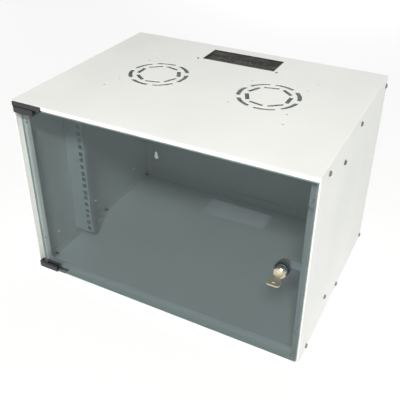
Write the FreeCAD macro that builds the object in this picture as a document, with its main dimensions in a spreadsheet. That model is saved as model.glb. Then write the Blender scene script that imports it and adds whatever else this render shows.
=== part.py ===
"""Seven-unit 19-inch wall cabinet with a hinged glass door and a key lock.

Frame: the origin is the centre of the base's underside, +Z is up, +X is the
right-hand side and the door faces -Y.  All lengths are millimetres.

Every driving dimension is a cell of the spreadsheet "sizes".  Sketches, pads,
pockets and primitives are bound to those cells by expressions, so a changed
cell carries through to every panel that meets it.
"""
import FreeCAD, Part
import math
import os
import Sketcher

V = FreeCAD.Vector
doc = FreeCAD.newDocument("wall_cabinet")


# ----------------------------------------------------------------- sizes
# Plain numbers in millimetres.  make_cells() turns each one into a cell of the
# spreadsheet and the name into a Size, which carries the cell's expression.

# the case
WIDTH = 540
DEPTH = 408
UNITS = 7
UNIT = 44.45
CASE_MARGIN = 56.85
SHEET = 1.2
GAP = 0.3
BEND = 0.8
RECESS = 20
SIDE_SEAT = 17
SIDE_SETBACK = 3.5
LID_LIP = 7
BASE_LIP = 12
SEAT = 10
LID_SIDE = 25
BASE_SIDE = 18
REAR_FLANGE = 22
SIDE_REAR = 15

# fan grilles and the holes round them
FAN_X = 109
FAN_FROM_REAR = 190.5
FAN_RING = 52.5
FAN_SLOT = 7.5
FAN_CHORD = 31
FAN_COUNT = 7
FAN_FLAT = 37
FAN_FLAT_LENGTH = 27.5
FAN_PITCH = 105
FAN_HOLE = 4.5
TRAY_OUTBOARD = 59
TRAY_PITCH = 178

# cable entries and the brush
ENTRY_X = 150
ENTRY_Y = 60
ENTRY_EDGE = 21
BRUSH_FRAME = 12
BRUSH_HEIGHT = 6
BRUSH_FOOT = 2
BRUSH_SLIT = 0.6
BRUSH_RIVET_X = 7
BRUSH_RIVET_Y = 3

# 19-inch rails
RAIL_FRONT = 119
RAIL_INNER = 450
RAIL_HOLE_INSET = 7.55
RAIL_SQUARE = 9.5
RAIL_SIDE = 32
RAIL_RETURN = 8
RAIL_SHEET = 1.5
RAIL_END = 2.6
RAIL_SCREW_Y = 18
RAIL_SCREW_Z = 17

# fasteners
SCREW_HOLE = 5.4
SCREW = 5
SCREW_PLAY = 0.1
HEAD = 10
HEAD_HEIGHT = 2.6
HEAD_TOP = 5.6
SCREW_LENGTH = 9
RIVET = 3.2
RIVET_HOLE = 3.4
RIVET_HEAD = 5.6
RIVET_RISE = 1.2
NUT_FLATS = 8
NUT_HEIGHT = 4
SIDE_SCREW_FRONT = 47
SIDE_SCREW_REAR = 10
LID_SCREW = 17
BASE_SCREW = 8
REAR_RIVET_X = 90
REAR_RIVET_Z = 11

# wall fixing
WALL_X = 29
WALL_Z = 60
WALL_ENTRY = 12
WALL_NECK = 7
WALL_RISE = 11
KNOCKOUT = 5
KNOCKOUT_Z = 49
KNOCKOUT_FRONT = 66.5
KNOCKOUT_MIDDLE = 193
KNOCKOUT_REAR = 60

# door
GLASS = 5
GLASS_CORNER = 1.5
GLASS_LEFT = 19
GLASS_SIDE_GAP = 1
CLIP_LENGTH = 43
CLIP_HEIGHT = 10.5
CLIP_FRONT = 3.5
CLIP_REAR = 4
CLIP_NOSE = 4
CLIP_INSET = 5.5
PAD = 0.7
PIVOT_X = 5.5
PIVOT_Y = 3
PIN = 5
PIN_PLAY = 0.05
PIN_NOSE = 0.5
BRACKET = 1.3
BRACKET_LENGTH = 59
BRACKET_DEPTH = 12
BRACKET_FACE = 3
BRACKET_RIVET_X = 7
BRACKET_RIVET_Y = 8.5
BUMPER = 10
BUMPER_STEM = 5
BUMPER_X = 8.5
BUMPER_LOW = 67
BUMPER_DROP = 50

# lock and key
LOCK_X = 39
LOCK_RISE = 8
BEZEL = 23
BEZEL_HEIGHT = 8
BEZEL_CHAMFER = 1.5
BARREL = 18
PLUG = 12
PLUG_PLAY = 0.05
GASKET = 1
LOCK_NUT = 5
LOCK_NUT_FLATS = 24
CAM_GAP = 1
CAM = 2
CAM_WIDTH = 14
CAM_HEEL = 6.5
CAM_TIP = 3
CAM_REACH = 34
CAM_SCREW = 4
CAM_SCREW_LENGTH = 4
KEY = 2
KEY_BLADE = 8
KEY_BLADE_LENGTH = 20
KEY_TIP = 3
KEY_COLLAR = 1
KEY_STAND_OFF = 1
KEY_SLOPE = 2
KEY_NECK = 11
KEY_BOW = 20
KEY_BOW_LENGTH = 17
KEY_CORNER = 4
KEY_EYE = 5
KEY_PLAY = 0.1


class Size:
    """A number together with the sheet expression that gives it."""

    def __init__(self, value, text):
        self.value = float(value)
        self.text = text

    def _join(self, other, sign, value):
        other = size(other)
        return Size(value(self.value, other.value), "(%s %s %s)" % (self.text, sign, other.text))

    def __add__(self, other):
        return self._join(other, "+", lambda a, b: a + b)

    def __sub__(self, other):
        return self._join(other, "-", lambda a, b: a - b)

    def __mul__(self, other):
        return self._join(other, "*", lambda a, b: a * b)

    def __truediv__(self, other):
        return self._join(other, "/", lambda a, b: a / b)

    def __radd__(self, other):
        return size(other) + self

    def __rsub__(self, other):
        return size(other) - self

    def __rmul__(self, other):
        return size(other) * self

    def __neg__(self):
        return size(-1) * self

    def __float__(self):
        return self.value


def size(number):
    """A plain number as a Size; a Size stays as it is."""
    return number if isinstance(number, Size) else Size(number, repr(float(number)))


def make_cells(names):
    """One spreadsheet row for each plain number, under its name in small letters."""
    sheet = doc.addObject("Spreadsheet::Sheet", "sizes")
    row = 0
    for name, value in list(names.items()):
        if not name.isupper() or not isinstance(value, (int, float)):
            continue
        row += 1
        alias = name.lower()
        sheet.set("A%d" % row, alias)
        sheet.set("B%d" % row, str(value))
        sheet.setAlias("B%d" % row, alias)
        names[name] = Size(value, "sizes." + alias)


make_cells(globals())

# positions that several pieces share
HEIGHT = UNITS * UNIT + CASE_MARGIN
FRONT = -DEPTH / 2
REAR = DEPTH / 2
RIGHT = WIDTH / 2
LEFT = -WIDTH / 2
SEAT_Y = FRONT + RECESS
LID_LEDGE = HEIGHT - LID_LIP
BACK_SHEET = REAR - SHEET
SIDE_TOP = HEIGHT - SHEET * 2 - GAP
SIDE_BOTTOM = SHEET * 2 + GAP
FLANGE_X = RIGHT - SHEET - GAP
RAIL_BOTTOM = HEIGHT / 2 - UNITS * UNIT / 2
RAIL_Y = FRONT + RAIL_FRONT
RAIL_OUT = RIGHT - SHEET
SCREW_ROWS = (FRONT + SIDE_SCREW_FRONT, (SIDE_SCREW_FRONT - SIDE_SCREW_REAR) / 2, REAR - SIDE_SCREW_REAR)
LID_SCREW_Z = HEIGHT - LID_SCREW
ENTRY_REAR = REAR - ENTRY_EDGE
ENTRY_FRONT = ENTRY_REAR - ENTRY_Y
GLASS_LEFT_X = LEFT + GLASS_LEFT
GLASS_RIGHT_X = RIGHT - SHEET * 2 - GLASS_SIDE_GAP
GLASS_BOTTOM = BASE_LIP + BRACKET + GAP
GLASS_TOP = LID_LEDGE - BRACKET - GAP
CLIP_LEFT = LEFT + CLIP_INSET
CLIP_RIGHT = CLIP_LEFT + CLIP_LENGTH
HINGE_X = CLIP_LEFT + PIVOT_X
HINGE_Y = FRONT + PIVOT_Y
CLIP_Z_LOW = GLASS_BOTTOM
CLIP_Z_HIGH = GLASS_TOP - CLIP_HEIGHT
LOCK_AXIS_X = GLASS_RIGHT_X - LOCK_X
LOCK_Z = HEIGHT / 2 + LOCK_RISE
RAIL_TOP = RAIL_BOTTOM + UNITS * UNIT
RAIL_SCREW_SPOTS = [(RAIL_Y + RAIL_SCREW_Y, z) for z in (RAIL_BOTTOM + RAIL_SCREW_Z, RAIL_TOP - RAIL_SCREW_Z)]
FAN_Y = REAR - FAN_FROM_REAR
GLASS_BACK = FRONT + GLASS
CAM_Y = SEAT_Y + SHEET + CAM_GAP
BUMPER_ROWS = (BUMPER_LOW, HEIGHT - BUMPER_DROP)
BRACKET_RIVET = (CLIP_LEFT + BRACKET_LENGTH - BRACKET_RIVET_X, FRONT + BRACKET_RIVET_Y)
BRUSH_RIVETS = [(side * (ENTRY_X / 2 + BRUSH_RIVET_X), ENTRY_FRONT - BRUSH_RIVET_Y) for side in (-1, 1)]
BARREL_END = CAM_Y - GAP * 2
REAR_RIVET_ROWS = (REAR_RIVET_Z, HEIGHT - REAR_RIVET_Z)
REAR_RIVETS = [(side * (RIGHT - REAR_RIVET_X), z) for side in (-1, 1) for z in REAR_RIVET_ROWS]


# ----------------------------------------------------------------- helpers

def bind(item, prop, value):
    """Ties one property to the sheet, or sets it where the value is bare."""
    item.setExpression(prop, size(value).text)


def new_body(label):
    body = doc.addObject("PartDesign::Body", label)
    body.Label = label
    return body


def plane(body, role):
    return next(item for item in body.Origin.OriginFeatures if item.Role == role)


def new_sketch(body, name, role, origin=(0, 0, 0)):
    """A sketch on one of the body's own planes; origin is in sketch axes."""
    sketch = body.newObject("Sketcher::SketchObject", name)
    sketch.AttachmentSupport = [(plane(body, role), "")]
    sketch.MapMode = "FlatFace"
    for axis, value in zip("xyz", origin):
        bind(sketch, "AttachmentOffset.Base." + axis, value)
    return sketch


def hold_point(sketch, geometry, end, point):
    """Fixes a sketch point by its two distances from the sketch's origin."""
    for kind, axis, value in (("DistanceX", -2, point[0]), ("DistanceY", -1, point[1])):
        value = size(value)
        if abs(value.value) < 1e-9:
            sketch.addConstraint(Sketcher.Constraint("PointOnObject", geometry, end, axis))
            continue
        index = sketch.addConstraint(Sketcher.Constraint(kind, -1, 1, geometry, end, value.value))
        bind(sketch, "Constraints[%d]" % index, value)


def draw_loop(sketch, points):
    """A closed outline of straight lines through the given points."""
    corners = [V(float(size(x)), float(size(y)), 0) for x, y in points]
    first = sketch.GeometryCount
    count = len(corners)
    for i in range(count):
        sketch.addGeometry(Part.LineSegment(corners[i], corners[(i + 1) % count]), False)
    for i in range(count):
        follows = first + (i + 1) % count
        sketch.addConstraint(Sketcher.Constraint("Coincident", first + i, 2, follows, 1))
    for i in range(count):
        hold_point(sketch, first + i, 1, points[i])


def draw_box(sketch, low, high):
    draw_loop(sketch, [(low[0], low[1]), (high[0], low[1]), (high[0], high[1]), (low[0], high[1])])


def draw_circle(sketch, centre, radius):
    middle = V(float(size(centre[0])), float(size(centre[1])), 0)
    index = sketch.addGeometry(Part.Circle(middle, V(0, 0, 1), float(size(radius))), False)
    hold_point(sketch, index, 3, centre)
    held = sketch.addConstraint(Sketcher.Constraint("Radius", index, float(size(radius))))
    bind(sketch, "Constraints[%d]" % held, radius)


def add_pad(body, sketch, length, reverse=False):
    pad = body.newObject("PartDesign::Pad", sketch.Name + "_pad")
    pad.Profile = sketch
    bind(pad, "Length", length)
    pad.Reversed = reverse
    doc.recompute()
    return pad


def solid_volume(body):
    return body.Shape.Volume if not body.Shape.isNull() else 0.0


def add_pocket(body, sketch):
    """Cuts right through the body, both ways from the sketch."""
    before = solid_volume(body)
    pocket = body.newObject("PartDesign::Pocket", sketch.Name + "_cut")
    pocket.Profile = sketch
    pocket.Type = "ThroughAll"
    pocket.Midplane = True
    doc.recompute()
    if solid_volume(body) >= before - 1e-6:
        raise RuntimeError(pocket.Name + " cuts nothing")
    return pocket


def add_blind_pocket(body, sketch, length, reverse=False):
    before = solid_volume(body)
    pocket = body.newObject("PartDesign::Pocket", sketch.Name + "_cut")
    pocket.Profile = sketch
    bind(pocket, "Length", length)
    pocket.Reversed = reverse
    doc.recompute()
    if solid_volume(body) >= before - 1e-6:
        raise RuntimeError(pocket.Name + " cuts nothing")
    return pocket


def repeat_round(body, feature, sketch, count):
    """Repeats a cut evenly round the sketch's own normal axis."""
    before = solid_volume(body)
    pattern = body.newObject("PartDesign::PolarPattern", feature.Name + "_ring")
    pattern.Originals = [feature]
    pattern.Axis = (sketch, ["N_Axis"])
    pattern.Angle = 360
    bind(pattern, "Occurrences", count)
    body.Tip = pattern
    doc.recompute()
    if solid_volume(body) >= before - 1e-6:
        raise RuntimeError(pattern.Name + " cuts nothing")


def round_edges(body, axis, places, radius, name):
    """Rounds the straight edges along one axis that pass through the places."""
    flat = [i for i in range(3) if i != axis]
    wanted = [[float(size(value)) for value in place] for place in places]
    names = []
    for number, edge in enumerate(body.Shape.Edges, 1):
        ends = [vertex.Point for vertex in edge.Vertexes]
        if len(ends) != 2 or any(abs(ends[0][i] - ends[1][i]) > 1e-6 for i in flat):
            continue
        if any(all(abs(ends[0][i] - place[k]) < 1e-4 for k, i in enumerate(flat)) for place in wanted):
            names.append("Edge%d" % number)
    if not names:
        raise RuntimeError(name + " finds no edge")
    rough = body.Tip
    fillet = body.newObject("PartDesign::Fillet", name)
    fillet.Base = (rough, names)
    bind(fillet, "Radius", radius)
    doc.recompute()
    return fillet


def mirrored(points, side):
    """Turns right-hand (x, y) points into left-hand ones when side is -1."""
    return [(side * size(x), y) for x, y in points]


def side_name(side):
    return "right" if side > 0 else "left"


# ----------------------------------------------------------------- case panels

def holes_through(body, name, role, centres, diameter):
    sketch = new_sketch(body, name, role)
    for centre in centres:
        draw_circle(sketch, centre, size(diameter) / 2)
    return add_pocket(body, sketch)


def side_panel(side):
    """Flat side with a hemmed front edge, a door seat and a rear flange."""
    body = new_body(side_name(side) + "_side_panel")
    sketch = new_sketch(body, side_name(side) + "_section", "XY_Plane", (0, 0, SIDE_BOTTOM))
    back = BACK_SHEET - GAP
    front = FRONT + SIDE_SETBACK
    inner = RIGHT - SIDE_SEAT
    section = [
        (RIGHT, front), (RIGHT, back), (RIGHT - SIDE_REAR, back), (RIGHT - SIDE_REAR, back - SHEET),
        (RIGHT - SHEET, back - SHEET), (RIGHT - SHEET, SEAT_Y + SHEET), (inner, SEAT_Y + SHEET),
        (inner, SEAT_Y), (RIGHT - SHEET * 2, SEAT_Y), (RIGHT - SHEET * 2, front)]
    draw_loop(sketch, mirrored(section, side))
    add_pad(body, sketch, SIDE_TOP - SIDE_BOTTOM)
    hem = [(side * RIGHT, front), (side * (RIGHT - SHEET * 2), front)]
    round_edges(body, 2, hem, SHEET * 0.8, side_name(side) + "_hem")
    round_edges(body, 2, [(side * RIGHT, back)], BEND + SHEET, side_name(side) + "_rear_bend")
    screws = [(y, z) for y in SCREW_ROWS for z in (LID_SCREW_Z, BASE_SCREW)]
    holes_through(body, side_name(side) + "_screw_holes", "YZ_Plane", screws + RAIL_SCREW_SPOTS, SCREW_HOLE)
    if side < 0:
        rows = (FRONT + KNOCKOUT_FRONT, FRONT + KNOCKOUT_MIDDLE, REAR - KNOCKOUT_REAR)
        holes_through(body, "left_open_holes", "YZ_Plane", [(y, KNOCKOUT_Z) for y in rows], KNOCKOUT)
    bumpers = [(side * (RIGHT - BUMPER_X), z) for z in BUMPER_ROWS]
    sketch = new_sketch(body, side_name(side) + "_bumper_holes", "XZ_Plane", (0, 0, -SEAT_Y))
    for centre in bumpers:
        draw_circle(sketch, centre, BUMPER_STEM / 2)
    add_blind_pocket(body, sketch, SHEET * 2)
    return body


def cross_panel(label, top):
    """The lid or the base: a tray folded from one sheet.

    Its front has a lip, a ledge and a door seat, its sides are hemmed and then
    turned away from the outside, and its rear edge is turned the same way."""
    body = new_body(label)
    lip = LID_LIP if top else BASE_LIP
    flange = LID_SIDE if top else BASE_SIDE

    def level(drop):
        return HEIGHT - drop if top else size(drop)

    deck = new_sketch(body, label + "_deck", "XY_Plane", (0, 0, level(SHEET) if top else 0))
    draw_box(deck, (LEFT, FRONT), (RIGHT, BACK_SHEET - GAP))
    add_pad(body, deck, SHEET)

    fold = new_sketch(body, label + "_front_fold", "YZ_Plane", (0, 0, LEFT))
    back = SEAT_Y + SHEET
    draw_loop(fold, [
        (FRONT, level(SHEET)), (FRONT, level(lip)), (SEAT_Y, level(lip)), (SEAT_Y, level(lip + SEAT)),
        (back, level(lip + SEAT)), (back, level(lip - SHEET)), (FRONT + SHEET, level(lip - SHEET)),
        (FRONT + SHEET, level(SHEET))])
    add_pad(body, fold, WIDTH)

    rear = new_sketch(body, label + "_rear_fold", "YZ_Plane", (0, 0, LEFT + SIDE_REAR + GAP))
    draw_box(rear, (BACK_SHEET - GAP - SHEET, level(SHEET)), (BACK_SHEET - GAP, level(REAR_FLANGE)))
    add_pad(body, rear, WIDTH - (SIDE_REAR + GAP) * 2)

    run = BACK_SHEET - GAP * 2 - SHEET - back - GAP
    for side in (-1, 1):
        name = label + "_" + side_name(side)
        sketch = new_sketch(body, name + "_fold", "XZ_Plane", (0, 0, -(back + GAP)))
        edge = FLANGE_X - SHEET
        draw_loop(sketch, mirrored([
            (RIGHT, level(SHEET)), (RIGHT, level(SHEET * 2)), (FLANGE_X, level(SHEET * 2)),
            (FLANGE_X, level(flange)), (edge, level(flange)), (edge, level(SHEET))], side))
        add_pad(body, sketch, run, True)
    trim_seats(body, label, level, lip)
    front_edges = [(FRONT, level(0)), (FRONT, level(lip))]
    round_edges(body, 0, front_edges, BEND, label + "_front_bends")
    ends = [(side * RIGHT, level(0)) for side in (-1, 1)]
    round_edges(body, 1, ends, BEND, label + "_side_hems")

    screws = [(y, LID_SCREW_Z if top else BASE_SCREW) for y in SCREW_ROWS]
    holes_through(body, label + "_side_holes", "YZ_Plane", screws, SCREW)
    rear_rivets = [(side * (RIGHT - REAR_RIVET_X), level(REAR_RIVET_Z)) for side in (-1, 1)]
    sketch = new_sketch(body, label + "_rear_holes", "XZ_Plane", (0, 0, -REAR))
    for centre in rear_rivets:
        draw_circle(sketch, centre, RIVET_HOLE / 2)
    add_blind_pocket(body, sketch, RECESS, True)
    leaf = new_sketch(body, label + "_leaf_hole", "XY_Plane", (0, 0, level(lip / 2)))
    draw_circle(leaf, BRACKET_RIVET, RIVET_HOLE / 2)
    add_blind_pocket(body, leaf, lip, top is False)
    return body


def trim_seats(body, label, level, lip):
    """Clears the fold's ends where the side panels' seats come through."""
    for side in (-1, 1):
        sketch = new_sketch(body, label + "_" + side_name(side) + "_notch", "XZ_Plane",
                            (0, 0, -(FRONT + SIDE_SETBACK - GAP)))
        low = level(SHEET * 2)
        high = level(lip + SEAT * 2)
        corner = RIGHT - SIDE_SEAT - GAP
        beyond = RIGHT + SHEET
        draw_loop(sketch, mirrored([(corner, low), (beyond, low), (beyond, high), (corner, high)], side))
        add_blind_pocket(body, sketch, RECESS + SHEET)


def draw_arc_slot(sketch, side):
    """A round-ended curved slot about the sketch's origin, on one side of it."""
    middle = FAN_RING.value
    half = FAN_SLOT.value / 2
    reach = math.asin(FAN_CHORD.value / 2 / middle)
    centre_angle = 0 if side > 0 else math.pi
    start, end = centre_angle - reach, centre_angle + reach
    caps = [V(middle * math.cos(angle), middle * math.sin(angle), 0) for angle in (start, end)]

    def arc(centre, radius, first, last):
        circle = Part.Circle(centre, V(0, 0, 1), radius)
        return sketch.addGeometry(Part.ArcOfCircle(circle, first, last), False)

    inner = arc(V(0, 0, 0), middle - half, start, end)
    outer = arc(V(0, 0, 0), middle + half, start, end)
    low = arc(caps[0], half, start + math.pi, start + math.pi * 2)
    high = arc(caps[1], half, end, end + math.pi)
    for index in (inner, outer):
        sketch.addConstraint(Sketcher.Constraint("Coincident", index, 3, -1, 1))
    joins = ((low, 1, inner, 1), (low, 2, outer, 1), (high, 1, outer, 2), (high, 2, inner, 2))
    for join in joins:
        sketch.addConstraint(Sketcher.Constraint("Tangent", *join))
    held = [("Radius", (inner,), FAN_RING - FAN_SLOT / 2), ("Radius", (outer,), FAN_RING + FAN_SLOT / 2),
            ("DistanceY", (-1, 1, low, 3), FAN_CHORD * (-side / 2)),
            ("DistanceY", (-1, 1, high, 3), FAN_CHORD * (side / 2))]
    for kind, where, value in held:
        index = sketch.addConstraint(Sketcher.Constraint(kind, *where, value.value))
        bind(sketch, "Constraints[%d]" % index, value)


def fan_grille(body, side):
    """Seven curved slots round seven straight ones, half a pitch apart."""
    name = side_name(side) + "_fan"
    centre = (side * FAN_X, FAN_Y, HEIGHT)
    ring = new_sketch(body, name + "_ring", "XY_Plane", centre)
    draw_arc_slot(ring, -side)
    cut = add_blind_pocket(body, ring, SHEET * 2)
    repeat_round(body, cut, ring, FAN_COUNT)

    flat = new_sketch(body, name + "_flat", "XY_Plane", centre)
    near = FAN_FLAT - FAN_SLOT / 2
    far = FAN_FLAT + FAN_SLOT / 2
    half = FAN_FLAT_LENGTH / 2
    draw_loop(flat, mirrored([(near, -half), (far, -half), (far, half), (near, half)], side))
    cut = add_blind_pocket(body, flat, SHEET * 2)
    repeat_round(body, cut, flat, FAN_COUNT)


def top_panel():
    body = cross_panel("top_panel", True)
    for side in (-1, 1):
        fan_grille(body, side)
    fans = []
    for side in (-1, 1):
        middle = (side * FAN_X, FAN_Y)
        for across in (-1, 1):
            for along in (-1, 1):
                fans.append((middle[0] + FAN_PITCH / 2 * across, middle[1] + FAN_PITCH / 2 * along))
                if across == side:
                    fans.append((side * (FAN_X + TRAY_OUTBOARD), middle[1] + TRAY_PITCH / 2 * along))
    holes_through(body, "top_small_holes", "XY_Plane", fans, FAN_HOLE)
    holes_through(body, "top_rivet_holes", "XY_Plane", BRUSH_RIVETS, RIVET_HOLE)
    cable_entry(body, "top_entry")
    return body


def cable_entry(body, name):
    sketch = new_sketch(body, name, "XY_Plane")
    draw_box(sketch, (-ENTRY_X / 2, ENTRY_FRONT), (ENTRY_X / 2, ENTRY_REAR))
    add_pocket(body, sketch)


def bottom_panel():
    body = cross_panel("bottom_panel", False)
    cable_entry(body, "bottom_entry")
    return body


def rear_panel():
    """A flat back with four keyholes for hanging on a wall."""
    body = new_body("rear_panel")
    sketch = new_sketch(body, "rear_outline", "XZ_Plane", (0, 0, -BACK_SHEET))
    draw_box(sketch, (LEFT + GAP, 0), (RIGHT - GAP, HEIGHT))
    add_pad(body, sketch, SHEET, True)
    corners = [(side * (RIGHT - WALL_X), z) for side in (-1, 1) for z in (WALL_Z, HEIGHT - WALL_Z)]
    holes_through(body, "wall_holes", "XZ_Plane", corners, WALL_ENTRY)
    sketch = new_sketch(body, "wall_necks", "XZ_Plane")
    for x, z in corners:
        draw_box(sketch, (x - WALL_NECK / 2, z), (x + WALL_NECK / 2, z + WALL_RISE))
    add_pocket(body, sketch)
    holes_through(body, "wall_ends", "XZ_Plane", [(x, z + WALL_RISE) for x, z in corners], WALL_NECK)
    countersunk_holes(body, "rear_rivet_holes", REAR_RIVETS)
    return body


def countersunk_holes(body, name, centres):
    """Rivet holes sunk from the outside, so the heads end flush."""
    sketch = new_sketch(body, name, "XZ_Plane", (0, 0, -REAR))
    for centre in centres:
        draw_circle(sketch, centre, RIVET_HOLE / 2)
    doc.recompute()
    before = solid_volume(body)
    hole = body.newObject("PartDesign::Hole", name + "_sunk")
    hole.Profile = sketch
    hole.DepthType = "ThroughAll"
    hole.Reversed = True
    bind(hole, "Diameter", RIVET_HOLE)
    hole.HoleCutType = "Countersink"
    hole.HoleCutCountersinkAngle = 90
    bind(hole, "HoleCutDiameter", RIVET_HEAD)
    doc.recompute()
    if solid_volume(body) >= before - 1e-6:
        raise RuntimeError(name + " cuts nothing")


# ----------------------------------------------------------------- rack rails

def rack_rail(side):
    """Folded 19-inch rail: square holes at the standard unit spacing."""
    name = side_name(side)
    body = new_body(name + "_rack_rail")
    sketch = new_sketch(body, name + "_rail_section", "XY_Plane", (0, 0, RAIL_BOTTOM - RAIL_END))
    inner = RAIL_INNER / 2
    draw_loop(sketch, mirrored([
        (inner, RAIL_Y), (RAIL_OUT, RAIL_Y), (RAIL_OUT, RAIL_Y + RAIL_SIDE),
        (RAIL_OUT - RAIL_SHEET, RAIL_Y + RAIL_SIDE), (RAIL_OUT - RAIL_SHEET, RAIL_Y + RAIL_SHEET),
        (inner + RAIL_SHEET, RAIL_Y + RAIL_SHEET), (inner + RAIL_SHEET, RAIL_Y + RAIL_RETURN),
        (inner, RAIL_Y + RAIL_RETURN)], side))
    add_pad(body, sketch, UNITS * UNIT + RAIL_END * 2)
    bends = [(side * inner, RAIL_Y), (side * RAIL_OUT, RAIL_Y)]
    round_edges(body, 2, bends, BEND + RAIL_SHEET, name + "_rail_bends")

    square = new_sketch(body, name + "_rail_squares", "XZ_Plane", (0, 0, -RAIL_Y))
    half = RAIL_SQUARE / 2
    column = side * (RAIL_INNER / 2 + RAIL_HOLE_INSET)
    for share in (1 / 7, 1 / 2, 6 / 7):
        z = RAIL_BOTTOM + UNIT * share
        draw_box(square, (column - half, z - half), (column + half, z + half))
    cut = add_blind_pocket(body, square, RAIL_SHEET * 2)
    pattern = body.newObject("PartDesign::LinearPattern", name + "_rail_units")
    pattern.Originals = [cut]
    pattern.Direction = (square, ["V_Axis"])
    count = int(round(UNITS.value))
    bind(pattern, "Length", UNIT * (count - 1))
    pattern.Occurrences = count
    body.Tip = pattern
    doc.recompute()

    holes_through(body, name + "_rail_screw_holes", "YZ_Plane", RAIL_SCREW_SPOTS, SCREW_HOLE)
    return body


# ----------------------------------------------------------------- cable brush

def brush_holder():
    """A frame under the lid's rear cut-out that carries two rows of bristles."""
    body = new_body("brush_holder")
    top = HEIGHT - SHEET
    sketch = new_sketch(body, "holder_outline", "XY_Plane", (0, 0, top - BRUSH_HEIGHT))
    reach = ENTRY_X / 2 + BRUSH_FRAME
    rear = ENTRY_REAR + BRUSH_FRAME
    draw_box(sketch, (-reach, ENTRY_FRONT - BRUSH_FRAME), (reach, rear))
    draw_box(sketch, (-ENTRY_X / 2, ENTRY_FRONT + BRUSH_FOOT), (ENTRY_X / 2, ENTRY_REAR - BRUSH_FOOT))
    add_pad(body, sketch, BRUSH_HEIGHT)
    holes_through(body, "holder_holes", "XY_Plane", BRUSH_RIVETS, RIVET_HOLE)
    return body


def brush_bristles():
    """Both rows of bristles, closed along a slit in the middle."""
    body = new_body("brush_bristles")
    body.AllowCompound = True
    middle = (ENTRY_FRONT + ENTRY_REAR) / 2
    half = ENTRY_X / 2 - GAP
    sketch = new_sketch(body, "bristle_rows", "XY_Plane", (0, 0, HEIGHT - SHEET - BRUSH_HEIGHT + GAP))
    front = ENTRY_FRONT + BRUSH_FOOT
    rear = ENTRY_REAR - BRUSH_FOOT
    draw_box(sketch, (-half, front), (half, middle - BRUSH_SLIT / 2))
    draw_box(sketch, (-half, middle + BRUSH_SLIT / 2), (half, rear))
    add_pad(body, sketch, BRUSH_HEIGHT - GAP * 2)
    return body


# ----------------------------------------------------------------- door

def door_glass():
    body = new_body("door_glass")
    sketch = new_sketch(body, "glass_outline", "XZ_Plane", (0, 0, -FRONT))
    draw_box(sketch, (GLASS_LEFT_X, GLASS_BOTTOM), (GLASS_RIGHT_X, GLASS_TOP))
    add_pad(body, sketch, GLASS, True)
    holes_through(body, "glass_lock_hole", "XZ_Plane", [(LOCK_AXIS_X, LOCK_Z)], BARREL + GASKET)
    corners = [(x, z) for x in (GLASS_LEFT_X, GLASS_RIGHT_X) for z in (GLASS_BOTTOM, GLASS_TOP)]
    round_edges(body, 1, corners, GLASS_CORNER, "glass_corners")
    return body


def hinge_clip(label, bottom):
    """A fork that grips the pane and turns on the hinge pin."""
    body = new_body(label)
    sketch = new_sketch(body, label + "_section", "XY_Plane", (0, 0, bottom))
    front = FRONT - PAD - CLIP_FRONT
    back = GLASS_BACK + PAD + CLIP_REAR
    root = GLASS_LEFT_X - GAP
    draw_loop(sketch, [
        (CLIP_LEFT, front), (CLIP_RIGHT, front), (CLIP_RIGHT, FRONT - PAD), (root, FRONT - PAD),
        (root, GLASS_BACK + PAD), (CLIP_RIGHT, GLASS_BACK + PAD), (CLIP_RIGHT, back), (CLIP_LEFT, back)])
    add_pad(body, sketch, CLIP_HEIGHT)
    round_edges(body, 2, [(CLIP_LEFT, front), (CLIP_LEFT, back)], CLIP_NOSE, label + "_nose")
    holes_through(body, label + "_bore", "XY_Plane", [(HINGE_X, HINGE_Y)], PIN + PIN_PLAY * 2)
    sketch = new_sketch(body, label + "_screw_hole", "XZ_Plane", (0, 0, -back))
    draw_circle(sketch, (CLIP_RIGHT - CLIP_HEIGHT, bottom + CLIP_HEIGHT / 2), SCREW / 2)
    add_blind_pocket(body, sketch, CLIP_REAR + PAD / 2, True)
    return body


def hinge_bracket(label, top):
    """The fixed hinge leaf on the ledge; the upper one also covers the lip."""
    body = new_body(label)
    low = LID_LEDGE - BRACKET if top else size(BASE_LIP)
    sketch = new_sketch(body, label + "_leaf", "XY_Plane", (0, 0, low))
    start = FRONT - BRACKET_FACE if top else FRONT + GAP
    draw_box(sketch, (CLIP_LEFT, start), (CLIP_LEFT + BRACKET_LENGTH, FRONT + BRACKET_DEPTH))
    add_pad(body, sketch, BRACKET)
    if top:
        face = new_sketch(body, label + "_face", "XY_Plane", (0, 0, low))
        draw_box(face, (CLIP_LEFT, start), (CLIP_LEFT + BRACKET_LENGTH, FRONT))
        add_pad(body, face, LID_LIP + BRACKET - GAP)
        edges = [(start, HEIGHT - GAP), (start, low)]
        round_edges(body, 0, edges, BEND, label + "_edges")
    holes_through(body, label + "_pin_hole", "XY_Plane", [(HINGE_X, HINGE_Y)], PIN)
    holes_through(body, label + "_screw_hole", "XY_Plane", [BRACKET_RIVET], RIVET_HOLE)
    return body


# ----------------------------------------------------------------- lock

def turned(label, name, *profiles):
    """A turned piece on the lock's axis; profile points are (radius, y)."""
    body = new_body(label)
    body.AllowCompound = len(profiles) > 1
    sketch = new_sketch(body, name, "XY_Plane", (LOCK_AXIS_X, 0, LOCK_Z))
    for profile in profiles:
        draw_loop(sketch, profile)
    turn = body.newObject("PartDesign::Revolution", name + "_turned")
    turn.Profile = sketch
    turn.ReferenceAxis = (sketch, ["V_Axis"])
    turn.Angle = 360
    doc.recompute()
    return body


def lock_housing():
    bore = PLUG / 2 + PLUG_PLAY
    face = FRONT - BEZEL_HEIGHT
    chamfer = BEZEL_CHAMFER
    return turned("lock_housing", "housing_profile", [
        (bore, face), (BEZEL / 2 - chamfer * 2, face), (BEZEL / 2 - chamfer, face + chamfer),
        (BEZEL / 2, FRONT - GASKET - chamfer), (BEZEL / 2, FRONT - GASKET), (BARREL / 2, FRONT - GASKET),
        (BARREL / 2, BARREL_END), (bore, BARREL_END)])


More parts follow.
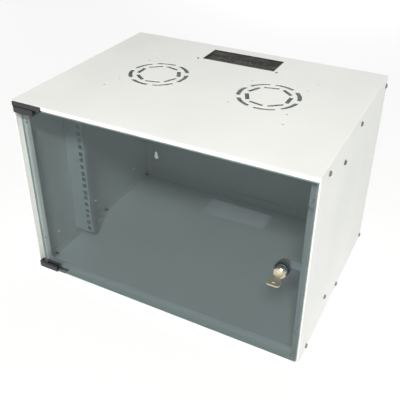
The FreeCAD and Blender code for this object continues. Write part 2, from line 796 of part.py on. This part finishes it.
def lock_gaskets():
    """Soft washers on both faces of the pane."""
    bore = BARREL / 2 + GAP
    rim = BEZEL / 2
    return turned("lock_gaskets", "gasket_profiles", [
        (bore, FRONT - GASKET), (rim, FRONT - GASKET), (rim, FRONT), (bore, FRONT)], [
        (bore, GLASS_BACK), (rim, GLASS_BACK), (rim, GLASS_BACK + GASKET), (bore, GLASS_BACK + GASKET)])


def lock_cylinder():
    """The turning plug with its keyway and its square tail for the cam."""
    radius = PLUG / 2
    face = FRONT - BEZEL_HEIGHT + GAP
    body = turned("lock_cylinder", "plug_profile", [
        (0, face), (radius, face), (radius, CAM_Y - GAP), (0, CAM_Y - GAP)])
    way = new_sketch(body, "keyway", "XZ_Plane", (0, 0, -(face + KEY_BLADE_LENGTH + KEY_STAND_OFF)))
    half = KEY_BLADE / 2 + KEY_PLAY
    draw_box(way, (LOCK_AXIS_X - half, LOCK_Z - KEY / 2 - KEY_PLAY),
             (LOCK_AXIS_X + half, LOCK_Z + KEY / 2 + KEY_PLAY))
    add_blind_pocket(body, way, KEY_BLADE_LENGTH + KEY_STAND_OFF + GAP * 3, True)
    tail = new_sketch(body, "plug_tail", "XZ_Plane", (0, 0, -(CAM_Y - GAP)))
    square = PLUG / 3
    draw_box(tail, (LOCK_AXIS_X - square, LOCK_Z - square), (LOCK_AXIS_X + square, LOCK_Z + square))
    add_pad(body, tail, CAM + GAP, True)
    tapped = new_sketch(body, "plug_screw_hole", "XZ_Plane", (0, 0, -(CAM_Y + CAM)))
    draw_circle(tapped, (LOCK_AXIS_X, LOCK_Z), CAM_SCREW / 2)
    add_blind_pocket(body, tapped, CAM_SCREW_LENGTH + GAP, True)
    return body


def lock_cam():
    """The flat arm that turns behind the right-hand door seat."""
    body = new_body("lock_cam")
    sketch = new_sketch(body, "cam_outline", "XZ_Plane", (0, 0, -CAM_Y))
    half = CAM_WIDTH / 2
    low = LOCK_AXIS_X - half
    tip = LOCK_AXIS_X + CAM_REACH
    draw_box(sketch, (low, LOCK_Z - half), (tip, LOCK_Z + half))
    add_pad(body, sketch, CAM, True)
    round_edges(body, 1, [(low, LOCK_Z - half), (low, LOCK_Z + half)], CAM_HEEL, "cam_heel")
    round_edges(body, 1, [(tip, LOCK_Z - half), (tip, LOCK_Z + half)], CAM_TIP, "cam_tip")
    hole = new_sketch(body, "cam_square", "XZ_Plane")
    square = PLUG / 3 + KEY_PLAY
    draw_box(hole, (LOCK_AXIS_X - square, LOCK_Z - square), (LOCK_AXIS_X + square, LOCK_Z + square))
    add_pocket(body, hole)
    return body


def key():
    """A flat key, level in its keyway, with a pierced bow."""
    body = new_body("key")
    sketch = new_sketch(body, "key_outline", "XY_Plane", (LOCK_AXIS_X, 0, LOCK_Z - KEY / 2))
    face = FRONT - BEZEL_HEIGHT
    blade = KEY_BLADE / 2
    bow = KEY_BOW / 2
    neck = face - KEY_NECK
    end = neck - KEY_BOW_LENGTH
    shoulder = face - KEY_STAND_OFF
    collar = blade + KEY_COLLAR
    tip = face + KEY_BLADE_LENGTH
    draw_loop(sketch, [
        (-blade, tip - KEY_TIP), (-blade, shoulder), (-collar, shoulder), (-collar, neck),
        (-bow, neck - KEY_SLOPE), (-bow, end), (bow, end), (bow, neck - KEY_SLOPE),
        (collar, neck), (collar, shoulder), (blade, shoulder), (blade, tip - KEY_TIP),
        (blade / 2, tip), (-blade / 2, tip)])
    add_pad(body, sketch, KEY)
    corners = [(LOCK_AXIS_X + bow * side, y) for side in (-1, 1) for y in (end, neck - KEY_SLOPE)]
    round_edges(body, 2, corners, KEY_CORNER, "key_bow_corners")
    holes_through(body, "key_ring_hole", "XY_Plane", [(LOCK_AXIS_X, end + KEY_EYE)], KEY_EYE)
    return body


def lock_nut():
    """The hexagon nut that clamps the lock to the pane."""
    prism = doc.addObject("Part::Prism", "lock_nut_prism")
    prism.Polygon = 6
    bind(prism, "Circumradius", LOCK_NUT_FLATS / math.sqrt(3))
    bind(prism, "Height", LOCK_NUT)
    bore = doc.addObject("Part::Cylinder", "lock_nut_bore")
    bind(bore, "Radius", BARREL / 2 + GAP / 3)
    bind(bore, "Height", LOCK_NUT)
    nut = doc.addObject("Part::Cut", "lock_nut")
    nut.Base = prism
    nut.Tool = bore
    nut.Label = "lock_nut"
    nut.Placement = FreeCAD.Placement(V(0, 0, 0), FreeCAD.Rotation(V(1, 0, 0), -90))
    bind(nut, "Placement.Base.x", LOCK_AXIS_X)
    bind(nut, "Placement.Base.y", GLASS_BACK + GASKET)
    bind(nut, "Placement.Base.z", LOCK_Z)
    return nut


# ----------------------------------------------------------------- fasteners

def pan_screw(head, height, top, radius, length):
    """A low screw: a bevelled head towards +Z, its shank down from the origin."""
    shank = [(0, -length), (radius, -length), (radius, 0)]
    cap = [(head, 0), (top, height), (0, height), (0, -length)]
    outline = Part.makePolygon([V(x, 0, z) for x, z in shank + cap])
    return Part.Face(outline).revolve(V(0, 0, 0), V(0, 0, 1), 360)


def hexagon(flats, height, bore):
    """A hexagon nut on the Z axis, starting at the origin."""
    reach = flats / math.sqrt(3)
    corners = [V(reach * math.cos(math.pi * i / 3), reach * math.sin(math.pi * i / 3), 0) for i in range(7)]
    blank = Part.Face(Part.makePolygon(corners)).extrude(V(0, 0, height))
    return blank.cut(Part.makeCylinder(bore, height))


def placed(shape, point, axis):
    """A copy whose +Z points along axis, moved to the point."""
    copy = shape.copy()
    spin = FreeCAD.Rotation(V(0, 0, 1), V(*axis))
    copy.Placement = FreeCAD.Placement(V(*[float(size(value)) for value in point]), spin)
    return copy


def group(label, shapes):
    """Identical small pieces share one node as separate solids."""
    item = doc.addObject("Part::Feature", label)
    item.Label = label
    item.Shape = Part.makeCompound(shapes)
    return item


def fasteners():
    shank = SCREW.value / 2 - SCREW_PLAY.value
    screw = pan_screw(HEAD.value / 2, HEAD_HEIGHT.value, HEAD_TOP.value / 2, shank, SCREW_LENGTH.value)
    for side in (-1, 1):
        spots = [(side * RIGHT, y, z) for y in SCREW_ROWS for z in (LID_SCREW_Z, BASE_SCREW)]
        group(side_name(side) + "_panel_screws", [placed(screw, spot, (side, 0, 0)) for spot in spots])
    rail_spots = [(side * RIGHT, y, z) for side in (-1, 1) for y, z in RAIL_SCREW_SPOTS]
    group("rail_screws", [placed(screw, spot, (1 if spot[0].value > 0 else -1, 0, 0)) for spot in rail_spots])
    nut = hexagon(NUT_FLATS.value, NUT_HEIGHT.value, SCREW.value / 2)
    nuts = []
    for x, y, z in rail_spots:
        out = 1 if x.value > 0 else -1
        nuts.append(placed(nut, (out * (RAIL_OUT - RAIL_SHEET), y, z), (-out, 0, 0)))
    group("rail_nuts", nuts)
    sunk = (RIVET_HEAD.value - RIVET_HOLE.value) / 2
    cone = Part.makeCone(RIVET_HOLE.value / 2, RIVET_HEAD.value / 2, sunk, V(0, 0, -sunk))
    flush = cone.fuse(Part.makeCylinder(RIVET.value / 2, SHEET.value * 4, V(0, 0, -SHEET.value * 4)))
    group("rear_panel_rivets", [placed(flush, (x, REAR, z), (0, 1, 0)) for x, z in REAR_RIVETS])
    rise = RIVET_RISE.value
    flat = (RIVET_HEAD.value / 2, rise, RIVET_HEAD.value / 4, RIVET.value / 2)
    rivet = pan_screw(*flat, (BRUSH_HEIGHT + SHEET).value)
    group("brush_holder_rivets", [placed(rivet, (x, y, HEIGHT), (0, 0, 1)) for x, y in BRUSH_RIVETS])
    leaf = pan_screw(*flat, (BRACKET + SHEET).value)
    spots = [(BASE_LIP + BRACKET, 1), (LID_LEDGE - BRACKET, -1)]
    group("bracket_rivets", [placed(leaf, BRACKET_RIVET + (z,), (0, 0, up)) for z, up in spots])


def hinge_hardware():
    """Pins, pads, grip screws and the leaf screws of both hinges."""
    shank = PIN.value / 2
    length = (BRACKET + GAP + CLIP_HEIGHT * 0.7).value
    nose = PIN_NOSE.value
    for label, z, up in (("lower_hinge_pin", BASE_LIP, 1), ("upper_hinge_pin", LID_LEDGE, -1)):
        pin = Part.makeCylinder(shank, length - nose)
        pin = pin.fuse(Part.makeCone(shank, shank - nose, nose, V(0, 0, length - nose))).removeSplitter()
        item = doc.addObject("Part::Feature", label)
        item.Label = label
        item.Shape = placed(pin, (HINGE_X, HINGE_Y, z), (0, 0, up))
    bottoms = (CLIP_Z_LOW, CLIP_Z_HIGH)
    pads = []
    length = CLIP_LENGTH.value - GLASS_LEFT.value + CLIP_INSET.value
    for bottom in bottoms:
        for y in (FRONT - PAD, GLASS_BACK):
            pad = Part.makeBox(length, PAD.value, CLIP_HEIGHT.value)
            pads.append(placed(pad, (GLASS_LEFT_X, y, bottom), (0, 0, 1)))
    group("clip_pads", pads)
    grip = Part.makeCylinder(SCREW.value / 2 - SCREW_PLAY.value, CLIP_REAR.value)
    grips = [placed(grip, (CLIP_RIGHT - CLIP_HEIGHT, GLASS_BACK + PAD, bottom + CLIP_HEIGHT / 2), (0, 1, 0))
             for bottom in bottoms]
    group("clip_grip_screws", grips)
    bumpers = []
    stem = Part.makeCylinder(BUMPER_STEM.value / 2 - SCREW_PLAY.value, SHEET.value * 2)
    head_length = RECESS.value - GLASS.value - GAP.value
    head = Part.makeCone(BUMPER.value / 2, BUMPER.value / 2.6, head_length)
    for z in BUMPER_ROWS:
        spot = (RIGHT - BUMPER_X, SEAT_Y, z)
        bumpers.append(placed(head, spot, (0, -1, 0)).fuse(placed(stem, spot, (0, 1, 0))))
    group("door_bumpers", bumpers)


def lock_hardware():
    shank = CAM_SCREW.value / 2 - SCREW_PLAY.value
    head = PLUG.value * 0.4
    cam_screw = pan_screw(head, HEAD_HEIGHT.value, PLUG.value * 0.25, shank, CAM_SCREW_LENGTH.value)
    item = doc.addObject("Part::Feature", "cam_screw")
    item.Label = "cam_screw"
    item.Shape = placed(cam_screw, (LOCK_AXIS_X, CAM_Y + CAM, LOCK_Z), (0, 1, 0))


# ----------------------------------------------------------------- build

def build():
    items = [top_panel(), bottom_panel(), rear_panel(), brush_holder(), brush_bristles(), door_glass()]
    for side in (-1, 1):
        items += [side_panel(side), rack_rail(side)]
    items += [hinge_clip("lower_hinge_clip", CLIP_Z_LOW), hinge_clip("upper_hinge_clip", CLIP_Z_HIGH)]
    items += [hinge_bracket("lower_hinge_bracket", False), hinge_bracket("upper_hinge_bracket", True)]
    items += [lock_housing(), lock_gaskets(), lock_cylinder(), lock_cam(), key(), lock_nut()]
    fasteners()
    hinge_hardware()
    lock_hardware()
    doc.recompute()


def write_out():
    os.makedirs("parts", exist_ok=True)
    for item in doc.Objects:
        if "Invalid" in item.State or "Error" in item.State:
            raise RuntimeError(item.Name + " failed to recompute")
    inner = set()
    for item in doc.Objects:
        for used in getattr(item, "OutList", []):
            if item.TypeId in ("Part::Cut", "Part::Fuse", "Part::MultiFuse"):
                inner.add(used.Name)
    for item in doc.Objects:
        if item.TypeId not in ("PartDesign::Body", "Part::Feature", "Part::Cut") or item.Name in inner:
            continue
        if item.Shape.isNull() or not item.Shape.isValid():
            raise RuntimeError(item.Label + " has no valid shape")
        item.Shape.exportStep("parts/%s.step" % item.Label)
        print("%-24s %2d solid(s) %10.1f mm3" % (item.Label, len(item.Shape.Solids), item.Shape.Volume))


build()
write_out()
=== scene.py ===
import math
import random

import bpy
import bmesh
from mathutils import Matrix, Vector


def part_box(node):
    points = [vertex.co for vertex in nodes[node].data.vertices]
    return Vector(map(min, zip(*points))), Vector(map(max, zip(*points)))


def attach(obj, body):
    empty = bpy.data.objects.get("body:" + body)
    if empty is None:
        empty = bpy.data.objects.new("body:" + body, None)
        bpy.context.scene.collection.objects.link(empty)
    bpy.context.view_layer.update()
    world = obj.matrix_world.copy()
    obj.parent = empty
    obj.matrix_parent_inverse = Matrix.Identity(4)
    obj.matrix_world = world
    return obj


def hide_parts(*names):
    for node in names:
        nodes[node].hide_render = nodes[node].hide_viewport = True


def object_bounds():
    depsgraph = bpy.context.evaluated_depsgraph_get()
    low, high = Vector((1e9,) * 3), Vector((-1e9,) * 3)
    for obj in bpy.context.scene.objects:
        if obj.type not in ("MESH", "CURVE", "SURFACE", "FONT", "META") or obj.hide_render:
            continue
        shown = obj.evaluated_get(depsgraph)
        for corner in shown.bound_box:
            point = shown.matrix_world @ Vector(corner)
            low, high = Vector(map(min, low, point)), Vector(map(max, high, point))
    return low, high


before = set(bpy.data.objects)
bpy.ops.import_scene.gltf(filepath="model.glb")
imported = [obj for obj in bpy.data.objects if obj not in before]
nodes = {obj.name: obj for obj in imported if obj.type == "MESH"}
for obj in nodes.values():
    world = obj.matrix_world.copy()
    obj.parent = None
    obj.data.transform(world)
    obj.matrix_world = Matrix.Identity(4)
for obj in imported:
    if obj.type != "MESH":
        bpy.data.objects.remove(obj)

# Lengths are in metres, in the CAD's frame: the door faces -Y and the base stands at Z 0.
CAD_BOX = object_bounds()


# ------------------------------------------------------------- camera

SENSOR_MM = 36.0
LENS_MM = 53.03
LENS_SHIFT = (0.0032, -0.0561)
CAMERA_PLACE = (0.43121, -0.86546, 0.77852)
CAMERA_AZIMUTH = 27.436
CAMERA_ELEVATION = 31.738
CAMERA_ROLL = 0.202


def look(azimuth, elevation, roll):
    """A rotation that looks along +Y at azimuth 0, down by the elevation, rolled about the view."""
    spin = Matrix.Rotation(math.radians(azimuth), 4, "Z")
    tilt = Matrix.Rotation(math.radians(90 - elevation), 4, "X")
    turn = Matrix.Rotation(math.radians(roll), 4, "Z")
    return spin @ tilt @ turn


def add_camera():
    data = bpy.data.cameras.new("camera")
    data.sensor_width = SENSOR_MM
    data.lens = LENS_MM
    data.shift_x, data.shift_y = LENS_SHIFT
    camera = bpy.data.objects.new("camera", data)
    bpy.context.scene.collection.objects.link(camera)
    turned = look(CAMERA_AZIMUTH, CAMERA_ELEVATION, CAMERA_ROLL)
    camera.matrix_world = Matrix.Translation(CAMERA_PLACE) @ turned
    bpy.context.scene.camera = camera


add_camera()
bpy.context.scene.view_settings.view_transform = "Standard"


# ------------------------------------------------------------- node trees

class Graph:
    """A node tree, with short calls for what this scene needs."""

    def __init__(self, tree):
        self.tree = tree
        self.tree.nodes.clear()

    def node(self, kind, **settings):
        """A new node. A setting goes to the input of that name, or else to the property."""
        made = self.tree.nodes.new(kind)
        for key, value in settings.items():
            if key in made.inputs:
                made.inputs[key].default_value = value
            else:
                setattr(made, key, value)
        return made

    def link(self, source, target):
        self.tree.links.new(source, target)

    def combine(self, operation, first, second):
        made = self.node("ShaderNodeMath", operation=operation)
        self.link(first, made.inputs[0])
        self.link(second, made.inputs[1])
        return made.outputs[0]

    def mix(self, share, first, second):
        """A blend that is the first shader at share 0 and the second at share 1."""
        made = self.node("ShaderNodeMixShader")
        self.link(share, made.inputs[0])
        self.link(first.outputs[0], made.inputs[1])
        self.link(second.outputs[0], made.inputs[2])
        return made.outputs[0]

    def seen_by_eye(self):
        """1 for camera, mirror and glass rays, which all show the same background."""
        path = self.node("ShaderNodeLightPath")
        direct = self.combine("MAXIMUM", path.outputs["Is Camera Ray"], path.outputs["Is Glossy Ray"])
        return self.combine("MAXIMUM", direct, path.outputs["Is Transmission Ray"])


class Surface(Graph):
    """A material with one Principled shader."""

    def __init__(self, name):
        self.material = bpy.data.materials.new(name)
        self.material.use_nodes = True
        super().__init__(self.material.node_tree)
        self.output = self.node("ShaderNodeOutputMaterial")
        self.shader = self.node("ShaderNodeBsdfPrincipled")
        self.link(self.shader.outputs[0], self.output.inputs[0])

    def set(self, **values):
        for key, value in values.items():
            self.shader.inputs[key.replace("_", " ")].default_value = value

    def cover(self, colour, roughness, normal):
        self.link(colour, self.shader.inputs["Base Color"])
        self.link(roughness, self.shader.inputs["Roughness"])
        self.link(normal, self.shader.inputs["Normal"])

    def place(self, scale=(1, 1, 1)):
        """The piece's own coordinates, stretched by the scale."""
        coordinates = self.node("ShaderNodeTexCoord")
        mapping = self.node("ShaderNodeMapping", Scale=scale)
        self.link(coordinates.outputs["Object"], mapping.inputs["Vector"])
        return mapping.outputs[0]

    def noise(self, where, scale, detail, rough=0.5):
        made = self.node("ShaderNodeTexNoise", Scale=scale, Detail=detail, Roughness=rough)
        self.link(where, made.inputs["Vector"])
        return made.outputs["Fac"]

    def ramp(self, value, stops, low, high):
        """A colour that runs from low to high while the value goes from stop to stop."""
        made = self.node("ShaderNodeValToRGB")
        for element, place, colour in zip(made.color_ramp.elements, stops, (low, high)):
            element.position = place
            element.color = tuple(colour) + (1,)
        self.link(value, made.inputs[0])
        return made.outputs[0]

    def spread(self, value, low, high, start=0.0, end=1.0):
        """The value's span from start to end, laid out from low to high."""
        made = self.node("ShaderNodeMapRange")
        made.inputs["From Min"].default_value = start
        made.inputs["From Max"].default_value = end
        made.inputs["To Min"].default_value = low
        made.inputs["To Max"].default_value = high
        self.link(value, made.inputs["Value"])
        return made.outputs[0]

    def bump(self, value, strength, distance, before=None):
        made = self.node("ShaderNodeBump", Strength=strength, Distance=distance)
        self.link(value, made.inputs["Height"])
        if before is not None:
            self.link(before, made.inputs["Normal"])
        return made.outputs[0]


# ------------------------------------------------------------- light

# Name, place, target, width and height, power in watts, colour.
LAMPS = (
    ("front_softbox", (0.85, -2.35, 2.55), (0, 0, 0.1), (0.6, 0.4), 134, (1.0, 0.985, 0.955)),
    ("right_softbox", (2.6, 0.3, 0.26), (0, 0, 0.18), (1.2, 0.5), 10, (0.965, 1.0, 1.0)),
    ("rear_softbox", (-0.6, 2.8, 0.3), (0, 0, 0.18), (1.2, 0.5), 32, (0.98, 1.0, 1.0)),
    ("left_softbox", (-2.7, 0.5, 0.3), (0, 0, 0.18), (1.0, 0.5), 21, (0.98, 1.0, 1.0)),
)
ROOM_COLOUR = (0.98, 0.99, 1.0, 1)
ROOM_STRENGTH = 0.14
BACKDROP_COLOUR = (0.8, 0.8, 0.8, 1)
BACKDROP_STRENGTH = 1.0


def area_lamp(name, place, target, size, power, colour):
    data = bpy.data.lights.new(name, "AREA")
    data.shape = "RECTANGLE"
    data.size, data.size_y = size
    data.energy = power
    data.color = colour
    lamp = bpy.data.objects.new(name, data)
    lamp.location = place
    lamp.rotation_euler = (Vector(target) - Vector(place)).to_track_quat("-Z", "Y").to_euler()
    bpy.context.scene.collection.objects.link(lamp)


def light_room():
    """An even dim room that lights the object, and a pale one wherever the room is seen."""
    world = bpy.data.worlds.new("room")
    bpy.context.scene.world = world
    world.use_nodes = True
    g = Graph(world.node_tree)
    room = g.node("ShaderNodeBackground", Color=ROOM_COLOUR, Strength=ROOM_STRENGTH)
    backdrop = g.node("ShaderNodeBackground", Color=BACKDROP_COLOUR, Strength=BACKDROP_STRENGTH)
    output = g.node("ShaderNodeOutputWorld")
    g.link(g.mix(g.seen_by_eye(), room, backdrop), output.inputs[0])


for lamp_values in LAMPS:
    area_lamp(*lamp_values)
light_room()


# ------------------------------------------------------------- materials

# Where a noise reaches the darker and the lighter of a material's two colours.
CLOUD_STOPS = (0.3, 0.7)
GRAIN_STOPS = (0.12, 0.42)
PANE_STOPS = (0.2, 0.8)

PANE_DARK = (0.016, 0.024, 0.026)
PANE_PALE = (0.020, 0.029, 0.031)
PANE_TINT = (0.865, 0.915, 0.925, 1)
PANE_SOLID = 0.32
EDGE_COLOUR = (0.34, 0.47, 0.44, 1)
EDGE_SOLID = 0.75
EDGE_STOPS = (0.35, 0.75)
MASK_ON = (1.0, 1.0, 1.0)
MASK_OFF = (0.0, 0.0, 0.0)

# The Mix node has sockets for each kind of data. These are the ones for colour.
MIX_SHARE, MIX_FIRST, MIX_SECOND, MIX_RESULT = 0, 6, 7, 2


def powder_coat(name, low, high, roughness=(0.38, 0.52)):
    """Fine orange-peel paint on sheet steel."""
    g = Surface(name)
    where = g.place()
    cloud = g.noise(where, scale=6.0, detail=4.0)
    wear = g.noise(where, scale=35.0, detail=5.0)
    peel = g.bump(g.noise(where, scale=900.0, detail=2.0), strength=0.12, distance=0.00008)
    wave = g.bump(g.noise(where, scale=14.0, detail=1.0), strength=0.05, distance=0.0006, before=peel)
    g.cover(g.ramp(cloud, CLOUD_STOPS, low, high), g.spread(wear, *roughness), wave)
    g.set(IOR=1.5)
    return g.material


def brushed(name, low, high, direction, roughness=(0.28, 0.42), metallic=1.0):
    """Rolled or plated metal with a faint grain in one direction."""
    g = Surface(name)
    grain = g.noise(g.place(direction), scale=60.0, detail=6.0, rough=0.6)
    blotch = g.noise(g.place(), scale=22.0, detail=4.0)
    tone = g.ramp(g.combine("MULTIPLY", grain, blotch), GRAIN_STOPS, low, high)
    g.cover(tone, g.spread(grain, *roughness), g.bump(grain, strength=0.08, distance=0.00006))
    g.set(Metallic=metallic)
    return g.material


def polished(name, low, high, roughness):
    """Bright plated metal with faint wear."""
    g = Surface(name)
    where = g.place()
    cloud = g.noise(where, scale=45.0, detail=4.0)
    wear = g.noise(where, scale=160.0, detail=3.0)
    fine = g.bump(g.noise(where, scale=500.0, detail=2.0), strength=0.03, distance=0.00003)
    g.cover(g.ramp(cloud, CLOUD_STOPS, low, high), g.spread(wear, *roughness), fine)
    g.set(Metallic=1.0)
    return g.material


def moulded(name, low, high, roughness, grain=700.0):
    """Plastic or rubber with a fine moulded grain."""
    g = Surface(name)
    where = g.place()
    cloud = g.noise(where, scale=40.0, detail=3.0)
    wear = g.noise(where, scale=90.0, detail=3.0)
    fine = g.bump(g.noise(where, scale=grain, detail=2.0), strength=0.15, distance=0.00008)
    g.cover(g.ramp(cloud, CLOUD_STOPS, low, high), g.spread(wear, *roughness), fine)
    return g.material


def smoked_glass():
    """Blue-green pane: clear enough to see through, paler and more solid on its cut edges."""
    g = Surface("smoked_pane")
    where = g.place()
    body = g.ramp(g.noise(where, scale=3.0, detail=2.0), PANE_STOPS, PANE_DARK, PANE_PALE)
    # The pane's own normal, so that its faces keep their look while the door turns.
    facing = g.node("ShaderNodeSeparateXYZ")
    g.link(g.node("ShaderNodeTexCoord").outputs["Normal"], facing.inputs[0])
    square = g.node("ShaderNodeMath", operation="ABSOLUTE")
    g.link(facing.outputs["Y"], square.inputs[0])
    edge = g.ramp(square.outputs[0], EDGE_STOPS, MASK_ON, MASK_OFF)
    colour = g.node("ShaderNodeMix", data_type="RGBA")
    g.link(edge, colour.inputs[MIX_SHARE])
    g.link(body, colour.inputs[MIX_FIRST])
    colour.inputs[MIX_SECOND].default_value = EDGE_COLOUR
    g.link(colour.outputs[MIX_RESULT], g.shader.inputs["Base Color"])
    wear = g.noise(where, scale=25.0, detail=3.0)
    g.link(g.spread(wear, 0.01, 0.03), g.shader.inputs["Roughness"])
    g.set(IOR=1.5, Specular_IOR_Level=0.7)
    clear = g.node("ShaderNodeBsdfTransparent", Color=PANE_TINT)
    solid = g.spread(edge, PANE_SOLID, EDGE_SOLID)
    g.link(g.mix(solid, clear, g.shader), g.output.inputs[0])
    return g.material


PAINT = powder_coat("white_powder_coat", (0.80, 0.815, 0.79), (0.86, 0.87, 0.85))
BLACK = powder_coat("black_powder_coat", (0.018, 0.018, 0.02), (0.03, 0.03, 0.032), (0.3, 0.45))
RAIL = powder_coat("rail_powder_coat", (0.74, 0.76, 0.75), (0.80, 0.82, 0.81))
ZINC = brushed("zinc_plate", (0.30, 0.30, 0.31), (0.55, 0.56, 0.57), (1, 1, 12))
DARK_ZINC = brushed("dark_zinc_plate", (0.15, 0.15, 0.15), (0.34, 0.34, 0.335), (1, 1, 8))
CAM = brushed("cam_zinc", (0.72, 0.78, 0.88), (0.86, 0.91, 0.98), (1, 1, 20), (0.35, 0.5), 0.35)
NICKEL = polished("nickel_plate", (0.44, 0.42, 0.37), (0.66, 0.63, 0.56), (0.12, 0.26))
KEY_METAL = polished("key_nickel_silver", (0.58, 0.54, 0.40), (0.80, 0.75, 0.58), (0.32, 0.5))
GLASS = smoked_glass()
BRISTLE = moulded("nylon_bristle", (0.030, 0.029, 0.027), (0.085, 0.080, 0.074), (0.35, 0.6), 1500.0)
RUBBER = moulded("black_rubber", (0.02, 0.02, 0.02), (0.035, 0.035, 0.035), (0.6, 0.8))
BUMPER = moulded("white_bumper", (0.80, 0.80, 0.78), (0.88, 0.88, 0.86), (0.35, 0.5))

FINISHES = (
    (PAINT, ("top_panel", "bottom_panel", "left_side_panel", "right_side_panel", "rear_panel")),
    (RAIL, ("left_rack_rail", "right_rack_rail")),
    (DARK_ZINC, ("rail_screws", "left_panel_screws", "right_panel_screws", "brush_holder_rivets",
                 "bracket_rivets")),
    (ZINC, ("rail_nuts", "rear_panel_rivets", "upper_hinge_pin", "lower_hinge_pin",
            "clip_grip_screws", "lock_nut", "cam_screw")),
    (BLACK, ("brush_holder", "upper_hinge_bracket", "lower_hinge_bracket", "upper_hinge_clip",
             "lower_hinge_clip")),
    (BRISTLE, ("brush_bristles",)),
    (RUBBER, ("clip_pads", "lock_gaskets")),
    (BUMPER, ("door_bumpers",)),
    (GLASS, ("door_glass",)),
    (NICKEL, ("lock_housing", "lock_cylinder")),
    (CAM, ("lock_cam",)),
    (KEY_METAL, ("key",)),
)


def finish(mesh, material):
    """Give every slot of the mesh the one material."""
    if not mesh.materials:
        mesh.materials.append(material)
    for index in range(len(mesh.materials)):
        mesh.materials[index] = material


for finish_material, names in FINISHES:
    for name in names:
        finish(nodes[name].data, finish_material)


# ------------------------------------------------------------- brush bristles

BRISTLE_RADIUS = 0.00038
BRISTLE_SIDES = 4
BRISTLE_PITCH = 0.00095
PITCH_SPREAD = (0.85, 1.15)   # shares of the pitch
BRISTLE_LAYERS = 3
LAYER_MARGIN = 3              # radii of the block's height that the layers leave free
LAYER_SHIFT = 0.5             # share of the pitch by which every second layer is moved
TIP_THINNING = 0.5            # share of the thickness that is lost at the tip
TIP_LEAN = 0.0006             # how far a tip may stand to either side of its root
TIP_GAP = 0.0003              # the least distance of a tip from the slit's middle
TIP_GAP_SPREAD = 0.0016
TIP_SAG = 0.0005
MIDDLE_SAG = 0.3              # share of the tip's sag
BRISTLE_SEED = 19


def add_bristle(mesh, points):
    """One closed rod through the points, its ends capped and its tip thinner."""
    rings = []
    for index, (x, y, z) in enumerate(points):
        thick = BRISTLE_RADIUS * (1.0 - TIP_THINNING * index / (len(points) - 1))
        ring = []
        for side in range(BRISTLE_SIDES):
            turn = 2 * math.pi * (side + 0.5) / BRISTLE_SIDES
            ring.append(mesh.verts.new((x + thick * math.cos(turn), y, z + thick * math.sin(turn))))
        rings.append(ring)
    for a, b in zip(rings, rings[1:]):
        for side in range(BRISTLE_SIDES):
            after = (side + 1) % BRISTLE_SIDES
            mesh.faces.new((a[side], a[after], b[after], b[side]))
    mesh.faces.new(rings[0][::-1])
    mesh.faces.new(rings[-1])


def bristle_rows():
    """Two facing rows of nylon bristles, with their tips on either side of the slit."""
    low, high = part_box("brush_bristles")
    left, right = low[0] + BRISTLE_RADIUS, high[0] - BRISTLE_RADIUS
    middle = (low[1] + high[1]) / 2
    stack = high[2] - low[2] - LAYER_MARGIN * BRISTLE_RADIUS
    draw = random.Random(BRISTLE_SEED)
    mesh = bmesh.new()
    for root, way in ((low[1], 1), (high[1], -1)):
        for layer in range(BRISTLE_LAYERS):
            z = low[2] + BRISTLE_RADIUS + stack * (layer + 0.5) / BRISTLE_LAYERS
            x = left + BRISTLE_PITCH * LAYER_SHIFT * (layer % 2)
            while x < right:
                lean = draw.uniform(-TIP_LEAN, TIP_LEAN)
                tip = middle - way * (TIP_GAP + draw.uniform(0.0, TIP_GAP_SPREAD))
                sag = draw.uniform(0.0, TIP_SAG)
                across = [min(max(x + lean * part, left), right) for part in (0.0, 0.5, 1.0)]
                along = (root, (root + tip) / 2, tip)
                up = (z, z - sag * MIDDLE_SAG, z - sag)
                add_bristle(mesh, list(zip(across, along, up)))
                x += BRISTLE_PITCH * draw.uniform(*PITCH_SPREAD)
    bmesh.ops.recalc_face_normals(mesh, faces=mesh.faces)
    data = bpy.data.meshes.new("nylon_bristles")
    mesh.to_mesh(data)
    mesh.free()
    made = bpy.data.objects.new("nylon_bristles", data)
    bpy.context.scene.collection.objects.link(made)
    data.materials.append(BRISTLE)
    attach(made, "cabinet")
    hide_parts("brush_bristles")


bristle_rows()


# ------------------------------------------------------------- floor

FLOOR_REACH = 12
FLOOR_DROP = 0.0005
FLOOR_COLOUR = (0.93, 0.93, 0.93, 1)
FLOOR_GLOW = 0.8
SHADE_REACH = 0.42            # how far above the floor the case is felt
SHADE_SAMPLES = 8
SHADE_SPAN = (0.24, 0.5)      # openness at which the glow starts and is full


def floor_material():
    """Matt floor that shows as white paper and loses its glow where the case covers it."""
    g = Surface("floor_white")
    g.set(Base_Color=FLOOR_COLOUR, Roughness=0.8)
    glow = g.node("ShaderNodeEmission", Strength=1.0)
    occlusion = g.node("ShaderNodeAmbientOcclusion", samples=SHADE_SAMPLES, Distance=SHADE_REACH)
    uncovered = g.spread(occlusion.outputs["AO"], 0.0, FLOOR_GLOW, *SHADE_SPAN)
    share = g.combine("MULTIPLY", g.seen_by_eye(), uncovered)
    g.link(g.mix(share, g.shader, glow), g.output.inputs[0])
    return g.material


def lay_floor():
    mesh = bpy.data.meshes.new("floor")
    corners = [(x * FLOOR_REACH, y * FLOOR_REACH, 0) for x, y in ((-1, -1), (1, -1), (1, 1), (-1, 1))]
    mesh.from_pydata(corners, [], [(0, 1, 2, 3)])
    mesh.materials.append(floor_material())
    made = bpy.data.objects.new("floor", mesh)
    made.location.z = CAD_BOX[0][2] - FLOOR_DROP
    bpy.context.scene.collection.objects.link(made)


lay_floor()
